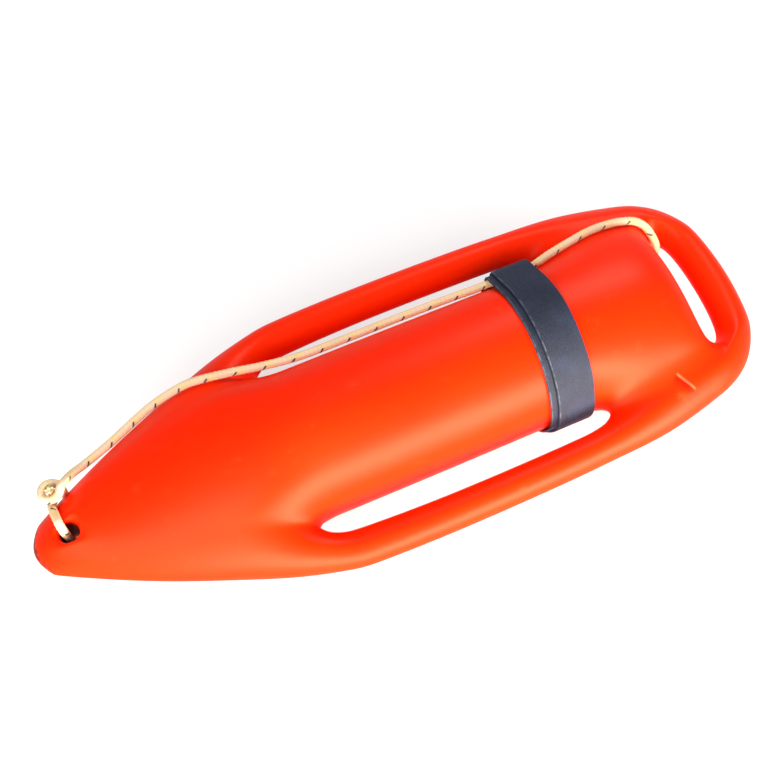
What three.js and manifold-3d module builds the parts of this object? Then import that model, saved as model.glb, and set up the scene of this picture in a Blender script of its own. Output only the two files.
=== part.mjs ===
// Rescue can: a moulded float with three hand slots, its towline and a webbing belt.
// Millimetres. +X runs from the nose to the rear handle, +Y to the far side, +Z up.
import * as THREE from "three";
import { mergeVertices } from "three/addons/utils/BufferGeometryUtils.js";
import Module from "manifold-3d";

const wasm = await Module();
wasm.setup();

// Float: overall sizes
const hullLength = 728;
const hullWidth = 266;
const barrelWidth = 146;
const barrelHeight = 155;
const sideSlotStart = 265;
const sideSlotLength = 265;
const frontSlotRound = 14;
const rearSlotRound = 19;
const barrelEnd = 671.6;
const rearSlotLength = 115;
const sideRailWidth = 32;
const railHeight = 37;
const noseHoleSetback = 41;
const noseHoleDiameter = 20;
const noseHoleRimHeight = 19;
const noseBow = 14;
const rearEdgeBow = 2;

// Float: wall, foam fill and its plug
const wallThickness = 5;
const foamClearance = 0.4;
const cavityStart = 96;
const cavityRearSetback = 29;
const plugSetback = 72;
const portDiameter = 20;
const plugFlangeDiameter = 28;
const plugFlangeThickness = 2.6;
const plugRecess = 0.3;
const plugSlotWidth = 3;
const plugSlotDepth = 1.2;
const plugClearance = 0.35;
const plugStemLength = 9;

// Towline
const lineDiameter = 8;
const lineClearance = 0.4;
const lineSideCount = 10;
const lineStepLength = 22;
const lineTailLap = 9;
const knotSlack = 0.55;

// Belt
const beltWidth = 45;
const beltThickness = 2.2;
const beltSetback = 489;
const turnShift = 6.5;
const layerGap = 0.6;
const beltClearance = 0.45;
const beltStepLength = 9;
const beltFlatWidth = 24;
const patchThickness = 1.4;
const patchLength = 34;
const patchMargin = 3;
const tabLength = 48;
const tabRootGap = 0.6;
const cutOverrun = 20;
const landDepth = 0.9;
const seamGap = 0.3;
const mergeTolerance = 1e-4;

// Shares of the sizes above, chosen by hand
const noseStationShares = [0, 0.057, null, 0.234, 0.408, 0.623, 0.823];
const slotStationShares = [0.33, 0.68];
const tailStationShares = [0.45, 0.88];
const outlineShares = [
  0.173, 0.214, 0.277, 0.374, 0.541, 0.711, 0.87, 0.957, 0.976, 0.999, 0.995, 0.982, 0.971,
  0.96, 0.847, 0.813,
];
const depthShares = [
  0, 0.155, 0.219, 0.277, 0.474, 0.737, 0.903, 0.974, 0.987, 1, 1, 1, 1, 1, 0.884, 0,
];
const barrelShares = [1.001, 1.002, 1.004, 1.001, 0.994, 0.992, 0.992, 0.957, 0.922];
const railShares = [1.04, 1.063, 1.008, 0.989, 0.972, 0.953, 1.103, 0.9, 0.962];
const tipLaneShares = [0, 0.25, 0.5, 0.7, 0.85, 1];
const noseLaneShares = [0, 0.42, 0.66, 0.84, 0.98, 1.08];
const noseSwellShare = 1.06;
const noseEdgeShare = 1.02;
const noseHoleRimSlopeShare = 0.3;
const valleyShares = new Map([
  [5, [0.99, 0.92, 0.93, 0.95]],
  [6, [0.97, 0.8, 0.8, 0.85]],
]);
const cavityWidthShares = [0.36, 0.985];
const cavityDepthShares = [0.22, 0.975];
const cavityEndShare = 0.9;
const webHeightShares = [
  [0.47, 0.335, 0.973],
  [0.371, 0.31, 0.973],
  [0.297, 0.284, 0.937],
];
const webInnerShares = [0.587, 0.526, 0.49];
const webOuterShares = [0.744, 0.647, 0.606];
const shoulderShares = [0.98, 0.94];
const rearRingShares = [
  [[-0.014, 0.577, 0.85], [0.161, 0.597, 1], [0.635, 0.758, 0]],
  [[0.142, 0.556, 0.75], [0.518, 0.439, 1], [0.97, 0.522, 0]],
  [[0.186, 0.406, 0], [0.574, 0.335, 1], [1.083, 0.371, 0]],
  [[0.216, 0, 0], [0.674, 0, 1], [1.16, 0, 0]],
];

// A ring of control points lies outside the round form that its subdivision leaves
const octagonShare = 1.108;
const octagonSideShare = 0.7836;
const squareShare = 1.5;
const holeRingShare = 0.902;

const colours = {
  shell: 0xff3d08,
  foam: 0xe9dfc4,
  plug: 0xe03a10,
  line: 0xf2e6c2,
  belt: 0x3c424b,
  patch: 0x202327,
};

const mix = (a, b, share) => a + (b - a) * share;
const halfLength = hullLength / 2;
const slotFront = noseStationShares.length;
const slotRear = slotFront + slotStationShares.length + 3;

// Float surface: a quarter cage of four-sided faces, mirrored twice and subdivided

function stationPlaces() {
  const end = sideSlotStart + sideSlotLength;
  return [
    ...noseStationShares.map((s) => (s === null ? noseHoleSetback : s * sideSlotStart)),
    sideSlotStart,
    sideSlotStart + frontSlotRound,
    ...slotStationShares.map((s) => sideSlotStart + s * sideSlotLength),
    end - rearSlotRound,
    end,
    ...tailStationShares.map((s) => mix(end, barrelEnd, s)),
    barrelEnd,
  ];
}

// The control place that makes a rim pass through the wanted limit, given its crest's place
const rimPlace = (limit, crest) => (3 * limit - crest) / 2;

function barrelRow(x, i) {
  const k = i - slotFront;
  const outer = (outlineShares[i] * hullWidth) / 2;
  const half = (barrelShares[k] * barrelWidth) / 2;
  const depth = (depthShares[i] * barrelHeight) / 2;
  const rail = (railShares[k] * sideRailWidth) / 2;
  const shoulder = octagonSideShare * half;
  const crest = outer - rail;
  return [
    [x, 0, octagonShare * depth],
    [x, shoulder, octagonSideShare * depth],
    [x, rimPlace(half, shoulder), 0],
    [x, rimPlace(outer - 2 * rail, crest), 0],
    [x, crest, (squareShare * railHeight) / 2],
    [x, rimPlace(outer, crest), 0],
  ];
}

function noseRow(x, i, slotRow) {
  const outer = (outlineShares[i] * hullWidth) / 2;
  const slotOuter = (outlineShares[slotFront] * hullWidth) / 2;
  const depth = (depthShares[i] * barrelHeight) / 2;
  const blend = (i - 1) / (slotFront - 1);
  const valley = valleyShares.get(i);
  return noseLaneShares.map((start, j) => {
    const share = mix(start, slotRow[j][1] / slotOuter, blend);
    const reach = Math.min(1, share / noseEdgeShare);
    let swell = noseSwellShare * Math.pow(1 - Math.pow(reach, 2.2), 0.62);
    if (valley && j > 0 && j < 5) swell *= valley[j - 1];
    return [x, outer * share, j === 5 ? 0 : depth * swell];
  });
}

function tailRow(x, i) {
  const k = i - slotRear - 1;
  const row = barrelRow(x, i);
  const halfWidth = hullWidth / 2;
  const railTop = (squareShare * railHeight) / 2;
  const heights = webHeightShares[k];
  if (k < shoulderShares.length) row[1][2] *= shoulderShares[k];
  row[2] = [x, webInnerShares[k] * halfWidth, (heights[0] * barrelHeight) / 2];
  row[3] = [x, webOuterShares[k] * halfWidth, (heights[1] * barrelHeight) / 2];
  row[4][2] = heights[2] * railTop;
  return row;
}

function hullRows() {
  const places = stationPlaces();
  const last = places.length - 1;
  const slotRow = barrelRow(places[slotFront], slotFront);
  const rows = places.map((x, i) => {
    if (i === 0) {
      const tip = (outlineShares[0] * hullWidth) / 2;
      return tipLaneShares.map((s) => [noseBow * s * s, tip * s, 0]);
    }
    if (i < slotFront) return noseRow(x, i, slotRow);
    return i <= slotRear ? barrelRow(x, i) : tailRow(x, i);
  });
  rows[last - 1][1][1] = rearSlotLength / 2;
  rows[last][0][2] = 0;
  rows[last][1] = [barrelEnd - rearEdgeBow, rearSlotLength / 2, 0];
  rows[last][2][0] = barrelEnd - rearEdgeBow;
  return rows;
}

function noseHoleFaces(rows) {
  const station = noseStationShares.indexOf(null);
  const radius = noseHoleDiameter / 2 / holeRingShare;
  const edge = [-1, 0, 1].flatMap((d) => {
    const row = rows[station + d];
    if (d === 0) return [row[1]];
    return d < 0 ? [row[0], row[1]] : [row[1], row[0]];
  });
  const steps = edge.length - 1;
  const ring = edge.map((_, k) => {
    const turn = Math.PI * (1 - k / steps);
    const y = k === 0 || k === steps ? 0 : radius * Math.sin(turn);
    const x = noseHoleSetback + radius * Math.cos(turn);
    const rise = noseHoleRimSlopeShare * (x - noseHoleSetback);
    return { top: [x, y, noseHoleRimHeight + rise], mid: [x, y, 0] };
  });
  return ring.slice(1).flatMap((point, k) => [
    [edge[k], ring[k].top, point.top, edge[k + 1]],
    [ring[k].top, ring[k].mid, point.mid, point.top],
  ]);
}

function rearHandleFaces(rows) {
  const last = rows.length - 1;
  const reach = hullLength - barrelEnd;
  const railTop = (squareShare * railHeight) / 2;
  const ring = rearRingShares.map((row) =>
    row.map(([x, y, z]) => [barrelEnd + x * reach, (y * hullWidth) / 2, z * railTop]),
  );
  const strips = [rows[last].slice(3), ...ring];
  const faces = strips.slice(1).flatMap((row, k) =>
    [0, 1].map((j) => [strips[k][j], row[j], row[j + 1], strips[k][j + 1]]),
  );
  faces.push([rows[last][2], ring[1][0], ring[0][0], rows[last][3]]);
  faces.push([rows[last][1], ring[2][0], ring[1][0], rows[last][2]]);
  return faces;
}

function quarterCage() {
  const rows = hullRows();
  const hole = noseStationShares.indexOf(null);
  const faces = [];
  rows.slice(1).forEach((row, i) => {
    for (let j = 0; j < 5; j++) {
      const inSlot = j === 2 && i >= slotFront && i < slotRear;
      const inHole = j === 0 && (i === hole - 1 || i === hole);
      if (!inSlot && !inHole) faces.push([rows[i][j], row[j], row[j + 1], rows[i][j + 1]]);
    }
  });
  return [...faces, ...noseHoleFaces(rows), ...rearHandleFaces(rows)];
}

function mirrorCage(quarter) {
  const places = new Map();
  const points = [];
  const idOf = (p) => {
    const key = p.map((v) => Math.round(v * 1000)).join();
    if (!places.has(key)) {
      places.set(key, points.length);
      points.push(p);
    }
    return places.get(key);
  };
  const faces = [];
  for (const side of [1, -1]) {
    for (const rise of [1, -1]) {
      for (const face of quarter) {
        const ids = face.map(([x, y, z]) => idOf([x, y * side || 0, z * rise || 0]));
        faces.push(side * rise > 0 ? ids : ids.reverse());
      }
    }
  }
  return { points, faces };
}

const sumOf = (list) => list.reduce((a, b) => [a[0] + b[0], a[1] + b[1], a[2] + b[2]]);
const scaled = (p, k) => p.map((v) => v * k);
const centreOf = (list) => scaled(sumOf(list), 1 / list.length);

function subdivide({ points, faces }) {
  const centres = faces.map((face) => centreOf(face.map((i) => points[i])));
  const edges = new Map();
  const around = points.map(() => ({ faces: [], edges: [] }));
  const edgeKey = (a, b) => Math.min(a, b) * points.length + Math.max(a, b);
  faces.forEach((face, f) => {
    face.forEach((a, k) => {
      const b = face[(k + 1) % face.length];
      const key = edgeKey(a, b);
      if (!edges.has(key)) edges.set(key, { ends: [a, b], faces: [] });
      edges.get(key).faces.push(f);
      around[a].faces.push(centres[f]);
    });
  });
  for (const edge of edges.values()) {
    const middle = centreOf(edge.ends.map((i) => points[i]));
    edge.ends.forEach((i) => around[i].edges.push(middle));
  }
  const next = points.map((p, i) => {
    const n = around[i].edges.length;
    const parts = [centreOf(around[i].faces), scaled(centreOf(around[i].edges), 2)];
    return scaled(sumOf([...parts, scaled(p, n - 3)]), 1 / n);
  });
  const faceIds = centres.map((c) => next.push(c) - 1);
  for (const edge of edges.values()) {
    const ends = edge.ends.map((i) => points[i]);
    edge.id = next.push(centreOf([...ends, ...edge.faces.map((f) => centres[f])])) - 1;
  }
  const split = faces.flatMap((face, f) =>
    face.map((a, k) => {
      const b = face[(k + 1) % face.length];
      const before = face[(k + face.length - 1) % face.length];
      return [a, edges.get(edgeKey(a, b)).id, faceIds[f], edges.get(edgeKey(before, a)).id];
    }),
  );
  return { points: next, faces: split };
}

function geometryOf(points, faces) {
  const triangles = faces.flatMap((f) => f.slice(2).map((c, k) => [f[0], f[k + 1], c]));
  const geometry = new THREE.BufferGeometry();
  geometry.setAttribute("position", new THREE.Float32BufferAttribute(points.flat(), 3));
  geometry.setIndex(triangles.flat());
  return geometry;
}

// Solids for cuts and joins

function solidOf(geometry) {
  const plain = geometry.clone();
  plain.deleteAttribute("normal");
  plain.deleteAttribute("uv");
  const merged = mergeVertices(plain, mergeTolerance);
  return new wasm.Manifold(
    new wasm.Mesh({
      numProp: 3,
      vertProperties: merged.attributes.position.array,
      triVerts: new Uint32Array(merged.index.array),
    }),
  );
}

function geometryFrom(solid) {
  const { vertProperties, triVerts, numProp } = solid.getMesh();
  const geometry = new THREE.BufferGeometry();
  const places = [];
  for (let i = 0; i < vertProperties.length; i += numProp) {
    places.push(vertProperties[i], vertProperties[i + 1], vertProperties[i + 2]);
  }
  geometry.setAttribute("position", new THREE.Float32BufferAttribute(places, 3));
  geometry.setIndex([...triVerts]);
  return geometry;
}

// Rings of as many points each, joined in order and closed at both ends by a middle point
function loftOf(rings) {
  const count = rings[0].length;
  const points = [...rings.flat(), centreOf(rings[0]), centreOf(rings[rings.length - 1])];
  const faces = [];
  rings.slice(1).forEach((_, r) => {
    for (let k = 0; k < count; k++) {
      const next = (k + 1) % count;
      const low = r * count;
      const high = low + count;
      faces.push([low + k, low + next, high + next, high + k]);
    }
  });
  const end = (rings.length - 1) * count;
  for (let k = 0; k < count; k++) {
    const next = (k + 1) % count;
    faces.push([points.length - 2, next, k]);
    faces.push([points.length - 1, end + k, end + next]);
  }
  return geometryOf(points, faces);
}

// Belt path: the webbing follows the barrel, bridges the line under it and climbs its own start
const beltRear = beltSetback + beltWidth;
const lineReach = lineDiameter / 2 + lineClearance;

const hullSurface = subdivide(subdivide(mirrorCage(quarterCage())));

// How far the float's skin lies from the barrel's axis, in one plane across it
function skinRadius(x, angle) {
  const way = [Math.cos(angle), Math.sin(angle)];
  let nearest = Infinity;
  for (const face of hullSurface.faces) {
    const corners = face.map((i) => hullSurface.points[i]);
    const side = corners.map((p) => p[0] > x);
    if (side.every((s) => s === side[0])) continue;
    const cut = [];
    corners.forEach((p, k) => {
      const q = corners[(k + 1) % corners.length];
      if (side[k] === side[(k + 1) % corners.length]) return;
      const share = (x - p[0]) / (q[0] - p[0]);
      cut.push([mix(p[1], q[1], share), mix(p[2], q[2], share)]);
    });
    const [a, b] = cut;
    const across = (p) => way[0] * p[1] - way[1] * p[0];
    const along = (p) => way[0] * p[0] + way[1] * p[1];
    const [ca, cb] = [across(a), across(b)];
    if (ca * cb > 0 || ca === cb) continue;
    const radius = mix(along(a), along(b), ca / (ca - cb));
    if (radius > 0) nearest = Math.min(nearest, radius);
  }
  return nearest;
}

function convexOutline(points) {
  const sorted = [...points].sort((p, q) => p[0] - q[0] || p[1] - q[1]);
  const turn = (o, a, b) => (a[0] - o[0]) * (b[1] - o[1]) - (a[1] - o[1]) * (b[0] - o[0]);
  const chainOf = (list) => {
    const chain = [];
    for (const p of list) {
      while (chain.length > 1 && turn(chain.at(-2), chain.at(-1), p) <= 0) chain.pop();
      chain.push(p);
    }
    return chain.slice(0, -1);
  };
  return [...chainOf(sorted), ...chainOf(sorted.reverse())];
}

// Where the line runs under the belt, as angles about the barrel from the far side up
const upperLineAngle = THREE.MathUtils.degToRad(29);
const lowerLineAngle = THREE.MathUtils.degToRad(-60);

function besideBarrel(angle, off) {
  const a = barrelWidth / 2;
  const b = barrelHeight / 2;
  const normal = [Math.cos(angle) / a, Math.sin(angle) / b];
  const size = Math.hypot(...normal);
  return [
    a * Math.cos(angle) + (off * normal[0]) / size,
    b * Math.sin(angle) + (off * normal[1]) / size,
  ];
}

const upperLine = besideBarrel(upperLineAngle, lineReach + lineClearance);
const lowerLine = besideBarrel(lowerLineAngle, lineReach + lineClearance);

function beltOutline() {
  const points = [];
  const angleCount = 72;
  const circleCount = 24;
  const planes = [0, 0.25, 0.5, 0.75, 1].map((s) => mix(beltSetback - turnShift, beltRear, s));
  const reach = (angle) => Math.max(...planes.map((x) => skinRadius(x, angle)));
  for (let k = 0; k < angleCount; k++) {
    const angle = (k / angleCount) * 2 * Math.PI;
    const radius = reach(angle);
    points.push([radius * Math.cos(angle), radius * Math.sin(angle)]);
  }
  const bottom = -reach(-Math.PI / 2);
  points.push([beltFlatWidth / 2, bottom], [-beltFlatWidth / 2, bottom]);
  for (const [y, z] of [upperLine, lowerLine]) {
    for (let k = 0; k < circleCount; k++) {
      const angle = (k / circleCount) * 2 * Math.PI;
      points.push([y + lineReach * Math.cos(angle), z + lineReach * Math.sin(angle)]);
    }
  }
  return convexOutline(points);
}

// The outline as evenly spaced places with outward normals, read by angle about the axis
function outlineReader(outline) {
  const sampleCount = 720;
  const spread = 3;
  const shape = new THREE.Shape(outline.map(([y, z]) => new THREE.Vector2(y, z)));
  shape.closePath();
  const samples = shape.getSpacedPoints(sampleCount).slice(0, sampleCount);
  const table = samples.map((p, k) => {
    const before = samples[(k + sampleCount - spread) % sampleCount];
    const after = samples[(k + spread) % sampleCount];
    const along = after.clone().sub(before).normalize();
    return {
      place: new THREE.Vector3(0, p.x, p.y),
      normal: new THREE.Vector3(0, along.y, -along.x),
      angle: Math.atan2(p.y, p.x),
    };
  });
  const gap = (a, b) => Math.abs(Math.atan2(Math.sin(a - b), Math.cos(a - b)));
  return (angle) =>
    table.reduce((best, s) => (gap(s.angle, angle) < gap(best.angle, angle) ? s : best));
}

const readOutline = outlineReader(beltOutline());
const beltStart = THREE.MathUtils.degToRad(215);
const firstTurnEnd = beltStart - 2 * Math.PI;
const tabRoot = THREE.MathUtils.degToRad(-14) - 2 * Math.PI;
const climb = THREE.MathUtils.degToRad(45);
const barrelRadius = (barrelWidth + barrelHeight) / 4;
const patchStack = 2 * patchThickness + 2 * seamGap;
const eased = (from, to, value) => THREE.MathUtils.smoothstep(value, from, to);

// The webbing's mid-plane, as it climbs over its own start and over the patches
function beltPlace(angle) {
  const { place, normal } = readOutline(angle);
  const layer = beltThickness + layerGap;
  const second = eased(-firstTurnEnd - climb, -firstTurnEnd, -angle) * layer;
  const patches = eased(-tabRoot - climb / 2, -tabRoot, -angle) * patchStack;
  const shift = eased(-firstTurnEnd - climb, -firstTurnEnd + climb / 2, -angle) * turnShift;
  const rise = beltClearance + beltThickness / 2 + second + patches;
  const centre = place.clone().addScaledVector(normal, rise);
  centre.x = beltSetback - turnShift + shift + beltWidth / 2;
  return { centre, normal };
}

// Keeps the samples where the path has gone one step, or turned by one bend, since the last
function thinned(samples, longest, sharpest) {
  const kept = [samples[0]];
  samples.slice(1, -1).forEach((sample) => {
    const last = kept.at(-1);
    const bend = last.direction.angleTo(sample.direction);
    if (sample.centre.distanceTo(last.centre) > longest || bend > sharpest) kept.push(sample);
  });
  return [...kept, samples.at(-1)];
}

function beltPath(from, to) {
  const sampleCount = Math.round((Math.abs(to - from) * barrelRadius) / (beltStepLength / 8));
  const samples = Array.from({ length: sampleCount + 1 }, (_, k) => {
    const place = beltPlace(mix(from, to, k / sampleCount));
    return { ...place, direction: place.normal };
  });
  return thinned(samples, beltStepLength, THREE.MathUtils.degToRad(9));
}

function ribbonOf(places, width, thickness, drop = 0) {
  const corners = [
    [-1, -1],
    [-1, 1],
    [1, 1],
    [1, -1],
  ];
  const rings = places.map(({ centre, normal }) =>
    corners.map(([s, t]) => {
      const p = centre.clone().addScaledVector(normal, (t * thickness) / 2 - drop);
      p.x += (s * width) / 2;
      return p.toArray();
    }),
  );
  return loftOf(rings);
}

function reportBeltGap(places) {
  let least = Infinity;
  const halfTurn = places.length / 4;
  places.forEach((p, i) => {
    places.forEach((q, j) => {
      if (j < i + halfTurn) return;
      const apart = q.centre.clone().sub(p.centre);
      apart.x = 0;
      least = Math.min(least, apart.length() - beltThickness);
    });
  });
  console.log("belt: least gap between its turns " + least.toFixed(2) + " mm");
}

const beltPlaces = beltPath(beltStart, tabRoot);

function beltWrap() {
  reportBeltGap(beltPlaces);
  return ribbonOf(beltPlaces, beltWidth, beltThickness);
}

// The closing tab carries on from the belt's outer end, with the two patches under it
const tabStart = tabRoot - tabRootGap / barrelRadius;
const tabEnd = tabStart - tabLength / barrelRadius;
const patchStart = tabStart - patchMargin / barrelRadius;
const patchEnd = patchStart - patchLength / barrelRadius;
const hookDrop = beltThickness / 2 + seamGap + patchThickness / 2;
const loopDrop = hookDrop + patchThickness + seamGap;

const closureTab = () => ribbonOf(beltPath(tabStart, tabEnd), beltWidth, beltThickness);

function patch(drop) {
  const width = beltWidth - 2 * patchMargin;
  return ribbonOf(beltPath(patchStart, patchEnd), width, patchThickness, drop);
}

function reportHinge(toPart) {
  const { centre, normal } = beltPlace((tabRoot + tabStart) / 2);
  const place = centre.clone().addScaledVector(normal, beltThickness / 2).applyMatrix4(toPart);
  console.log("tab hinge " + place.toArray().map((v) => v.toFixed(2)));
}

// Float: cavity, port and rest land

function cavityRings(inset) {
  const places = stationPlaces();
  const first = cavityStart + inset;
  const last = barrelEnd - cavityRearSetback - inset;
  const noseStops = [0, 0.1, 0.25, 0.45, 0.7].map((s) => mix(first, sideSlotStart, s));
  const body = [...noseStops, ...places.slice(slotFront, slotRear + 2)];
  const rearStops = [0.5, 0.8, 0.94, 1].map((s) => mix(body.at(-1), last, s));
  const sideCount = 24;
  return [...body, ...rearStops].map((x) => {
    const nose = Math.sin((Math.min(1, (x - first) / (sideSlotStart - first)) * Math.PI) / 2);
    const rear = Math.max(0, (x - body.at(-1)) / (last - body.at(-1)));
    const round = Math.sqrt(1 - cavityEndShare * rear * rear);
    const y = (barrelWidth / 2 - wallThickness) * mix(...cavityWidthShares, nose) * round - inset;
    const z = (barrelHeight / 2 - wallThickness) * mix(...cavityDepthShares, nose) * round - inset;
    return Array.from({ length: sideCount }, (_, k) => {
      const turn = (k / sideCount) * 2 * Math.PI;
      return [x, y * Math.cos(turn), z * Math.sin(turn)];
    });
  });
}

const plugPlace = beltRear + plugSetback;
const plugSkin = skinRadius(plugPlace, -Math.PI / 2) - plugRecess;

function uprightDisc(diameter, low, high) {
  const sideCount = 36;
  const disc = new THREE.CylinderGeometry(diameter / 2, diameter / 2, high - low, sideCount);
  disc.rotateX(Math.PI / 2);
  return disc.translate(plugPlace, 0, (low + high) / 2);
}

function portCutters() {
  const low = -plugSkin - cutOverrun;
  const port = uprightDisc(portDiameter + 2 * plugClearance, low, cutOverrun - plugSkin);
  const seat = uprightDisc(
    plugFlangeDiameter + 2 * plugClearance,
    low,
    plugFlangeThickness - plugSkin,
  );
  return solidOf(port).add(solidOf(seat));
}

function fillPlug() {
  const flangeTop = plugFlangeThickness - seamGap - plugSkin;
  const flange = uprightDisc(plugFlangeDiameter, -plugSkin, flangeTop);
  const stem = uprightDisc(portDiameter, seamGap - plugSkin, plugStemLength - plugSkin);
  const slot = new THREE.BoxGeometry(portDiameter, plugSlotWidth, 2 * plugSlotDepth);
  slot.translate(plugPlace, 0, -plugSkin);
  return geometryFrom(solidOf(flange).add(solidOf(stem)).subtract(solidOf(slot)));
}

// The can lies on its belly and on the belt's front edge, so its nose dips a little
const landPlace = sideSlotStart + frontSlotRound;
const landLevel = landDepth - skinRadius(landPlace, -Math.PI / 2);
const beltFront = beltSetback - turnShift;
const beltLow = Math.min(
  ...beltPlaces.map(({ centre, normal }) => centre.z + (normal.z * beltThickness) / 2),
);
const restPitch = Math.atan2(landLevel - beltLow, beltFront - landPlace);

function bellyCutter() {
  const size = hullLength;
  const ground = new THREE.BoxGeometry(size, size, size).translate(0, 0, -size / 2);
  ground.rotateY(restPitch).translate(landPlace, 0, landLevel);
  return solidOf(ground);
}

function hullShell() {
  const outer = solidOf(geometryOf(hullSurface.points, hullSurface.faces));
  const cavity = solidOf(loftOf(cavityRings(0)));
  return geometryFrom(outer.subtract(cavity).subtract(portCutters()).subtract(bellyCutter()));
}

function foamCore() {
  const core = solidOf(loftOf(cavityRings(foamClearance)));
  const room = uprightDisc(
    portDiameter + 2 * wallThickness,
    -plugSkin - cutOverrun,
    plugStemLength + foamClearance - plugSkin,
  );
  return geometryFrom(core.subtract(solidOf(room)));
}

// Towline: one rope, from the cut end in its nose knot to the end sewn under the belt
const knotPlace = new THREE.Vector3(36.5, 43.6, 22.6);
const knotRadius = lineDiameter / 2 + lineReach + knotSlack;
const knotPitch = lineDiameter + lineClearance + knotSlack;
const knotTurn = THREE.MathUtils.degToRad(320);

function knotCoil() {
  const stepCount = 16;
  return Array.from({ length: stepCount + 1 }, (_, k) => {
    const angle = mix(-knotTurn, 0, k / stepCount);
    const height = (knotPitch * angle) / (2 * Math.PI);
    return new THREE.Vector3(
      knotRadius * Math.cos(angle),
      knotRadius * Math.sin(angle),
      height,
    ).add(knotPlace);
  });
}

const vectorsOf = (list) => list.map((p) => new THREE.Vector3(...p));

const cutEndRoute = vectorsOf([
  [36.5, 43.6, 26.4],
  [36.5, 43.6, 21],
  [36.5, 43.6, 15.8],
  [35.8, 42.4, 11.6],
  [33.6, 38.6, 9.5],
]);
const noseLoopRoute = vectorsOf([
  [31.7, 34.2, 10.1],
  [31.7, 28.8, 14.3],
  [33.2, 20.8, 18.9],
  [36.1, 11.7, 21.2],
  [39, 5.4, 18.4],
  [40.7, 3.2, 11],
  [40.9, 3, 0],
  [40.9, 3.6, -12],
  [40.9, 6.2, -19.8],
  [41, 12.5, -22.4],
  [42.4, 22, -20.8],
  [44.3, 31, -17],
  [45.9, 38.6, -12.4],
  [46.8, 45.2, -7.2],
  [47.2, 48, -0.4],
  [46.9, 48.4, 6.2],
  [45.5, 48.7, 11.2],
]);
const frontRunRoute = vectorsOf([
  [46.6, 47.9, 22.6],
  [50, 51.9, 20.5],
  [56.5, 56.2, 13.2],
  [72.3, 64.1, 8],
  [101.5, 73.9, 12],
  [125, 83.3, 15],
  [147.9, 89.3, 19],
  [174.7, 90.5, 28],
  [199.6, 85.7, 38.2],
  [228.4, 80.8, 39.4],
  [258.8, 75.3, 38.4],
  [294.7, 70.9, 38.4],
  [345.8, 70.5, 38],
  [400, 70.2, 38.6],
  [450, 69.3, 39.4],
]);
const rearRunRoute = vectorsOf([
  [552, 71.9, 40.5],
  [584.3, 77.4, 38.5],
  [619.9, 80.4, 36],
  [641.9, 78.4, 33.2],
  [656.9, 74.1, 31.4],
  [665, 65.8, 29.9],
  [669.5, 56.8, 23.7],
  [674.5, 51.4, 13],
  [676, 50, 0],
  [673, 51.5, -14],
  [667.4, 55.8, -27],
  [657.8, 60.6, -38.2],
  [641, 61.6, -48.4],
  [615, 59.2, -57.6],
  [590, 54.5, -62.6],
  [565, 48.5, -67.6],
]);

function lineRoute() {
  const under = ([y, z], places) => places.map((x) => new THREE.Vector3(x, y, z));
  const front = beltFront - lineTailLap;
  const middle = (beltFront + beltRear) / 2;
  return [
    ...cutEndRoute,
    ...noseLoopRoute,
    ...knotCoil(),
    ...frontRunRoute,
    ...under(upperLine, [front, middle, beltRear]),
    ...rearRunRoute,
    ...under(lowerLine, [beltRear, middle, beltSetback + lineTailLap]),
  ];
}

function tubeOf(samples, radius, sideCount) {
  let side = new THREE.Vector3(0, 0, 1).cross(samples[0].direction);
  if (side.length() < 0.1) side = new THREE.Vector3(1, 0, 0).cross(samples[0].direction);
  const rings = samples.map(({ centre, direction }) => {
    side = side.addScaledVector(direction, -side.dot(direction)).normalize();
    const up = direction.clone().cross(side);
    return Array.from({ length: sideCount }, (_, k) => {
      const turn = (k / sideCount) * 2 * Math.PI;
      const p = centre.clone().addScaledVector(side, radius * Math.cos(turn));
      return p.addScaledVector(up, radius * Math.sin(turn)).toArray();
    });
  });
  return loftOf(rings);
}

function reportLine(samples, length) {
  let least = Infinity;
  samples.forEach((p, i) => {
    samples.slice(i + 1).forEach((q) => {
      if (q.along - p.along < 2 * lineDiameter) return;
      least = Math.min(least, p.centre.distanceTo(q.centre) - lineDiameter);
    });
  });
  console.log("line: " + length.toFixed(0) + " mm long, least gap to itself " + least.toFixed(2));
}

function towline() {
  const curve = new THREE.CatmullRomCurve3(lineRoute(), false, "centripetal");
  curve.arcLengthDivisions = 4000;
  const length = curve.getLength();
  const sampleCount = Math.round(length / (lineDiameter / 8));
  const samples = Array.from({ length: sampleCount + 1 }, (_, k) => {
    const share = k / sampleCount;
    const direction = curve.getTangentAt(share);
    return { centre: curve.getPointAt(share), direction, along: share * length };
  });
  reportLine(samples, length);
  const kept = thinned(samples, lineStepLength, THREE.MathUtils.degToRad(15));
  return tubeOf(kept, lineDiameter / 2, lineSideCount);
}

function meshOf(name, geometry, colour, roughness) {
  geometry.computeVertexNormals();
  const material = new THREE.MeshStandardMaterial({ color: colour, roughness, metalness: 0 });
  const mesh = new THREE.Mesh(geometry, material);
  mesh.name = name;
  return mesh;
}

const float = new THREE.Group();
float.add(
  meshOf("hull_shell", hullShell(), colours.shell, 0.42),
  meshOf("foam_core", foamCore(), colours.foam, 0.95),
  meshOf("fill_plug", fillPlug(), colours.plug, 0.45),
);
const rigging = new THREE.Group();
rigging.add(
  meshOf("towline", towline(), colours.line, 0.85),
  meshOf("belt_wrap", beltWrap(), colours.belt, 0.9),
  meshOf("loop_patch", patch(loopDrop), colours.patch, 0.95),
  meshOf("hook_patch", patch(hookDrop), colours.patch, 0.9),
  meshOf("closure_tab", closureTab(), colours.belt, 0.9),
);

const can = new THREE.Group();
can.add(float, rigging);
can.rotation.y = -restPitch;
const box = new THREE.Box3().setFromObject(can, true);
const middle = box.getCenter(new THREE.Vector3());
can.position.set(-middle.x, -middle.y, -box.min.z);

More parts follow.
